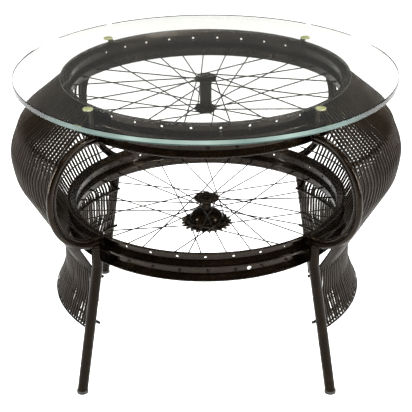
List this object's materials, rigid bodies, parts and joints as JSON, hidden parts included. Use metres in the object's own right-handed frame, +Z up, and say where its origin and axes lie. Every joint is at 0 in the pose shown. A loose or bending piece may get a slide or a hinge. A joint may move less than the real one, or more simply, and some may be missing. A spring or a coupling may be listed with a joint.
{
  "type": "coffee table",
  "caption": "Round glass coffee table on two stacked bicycle wheels, with bows, splayed legs and side panels of bent rods.",
  "frame": {"origin": "on the floor, on the vertical axis of the two wheels and the glass top", "axes": "+Z up, -Y towards the front, +X towards the right side panel"},
  "size_m": [0.7886, 0.762, 0.5954],
  "materials": {
    "glass": "clear, polished edge with a green tint",
    "bumper": "clear, slightly yellow",
    "frame_paint": "worn brown-black paint",
    "rim_paint": "worn brown-black paint",
    "rod_paint": "worn brown-black paint with drips",
    "spoke_paint": "worn brown-black paint",
    "hub_paint": "worn brown-black paint",
    "nipple_steel": "darkened by paint",
    "bearing_steel": "darkened by paint",
    "sprocket_steel": "darkened by paint",
    "foot_rubber": "matte"
  },
  "bodies": {
    "table": {"glass_top": "glass", "glass_bumpers": "bumper", "post_front_left": "frame_paint", "post_front_right": "frame_paint", "post_back_left": "frame_paint", "post_back_right": "frame_paint", "upper_bare_rim": "rim_paint", "upper_spoked_rim": "rim_paint", "upper_spokes": "spoke_paint", "upper_nipples": "nipple_steel", "upper_hub_shell": "hub_paint", "upper_hub_cups": "bearing_steel", "lower_bare_rim": "rim_paint", "lower_spoked_rim": "rim_paint", "lower_spokes": "spoke_paint", "lower_nipples": "nipple_steel", "lower_hub_shell": "hub_paint", "lower_hub_cup": "bearing_steel", "freewheel_core": "bearing_steel", "freewheel_lock_ring": "bearing_steel", "bow_front_left": "frame_paint", "bow_front_right": "frame_paint", "bow_back_left": "frame_paint", "bow_back_right": "frame_paint", "inner_bow_front_left": "frame_paint", "inner_bow_front_right": "frame_paint", "inner_bow_back_left": "frame_paint", "inner_bow_back_right": "frame_paint", "leg_front_left": "frame_paint", "leg_front_right": "frame_paint", "leg_back_left": "frame_paint", "leg_back_right": "frame_paint", "foot_cap_front_left": "foot_rubber", "foot_cap_front_right": "foot_rubber", "foot_cap_back_left": "foot_rubber", "foot_cap_back_right": "foot_rubber", "left_rods_front": "rod_paint", "left_rods_middle": "rod_paint", "left_rods_back": "rod_paint", "right_rods_front": "rod_paint", "right_rods_middle": "rod_paint", "right_rods_back": "rod_paint", "left_shoulder_ring": "rod_paint", "left_tie_ring": "rod_paint", "left_waist_ring": "rod_paint", "left_flare_rings": "rod_paint", "left_bottom_ring": "rod_paint", "right_shoulder_ring": "rod_paint", "right_tie_ring": "rod_paint", "right_waist_ring": "rod_paint", "right_flare_rings": "rod_paint", "right_bottom_ring": "rod_paint"},
    "freewheel_body": {"freewheel_sprocket": "sprocket_steel"}
  },
  "joints": [
    {"name": "freewheel_spin", "type": "hinge", "parent": "table", "child": "freewheel_body", "pos_m": [0, 0, 0.2567], "axis": [0, 0, 1], "continuous": true}
  ]
}
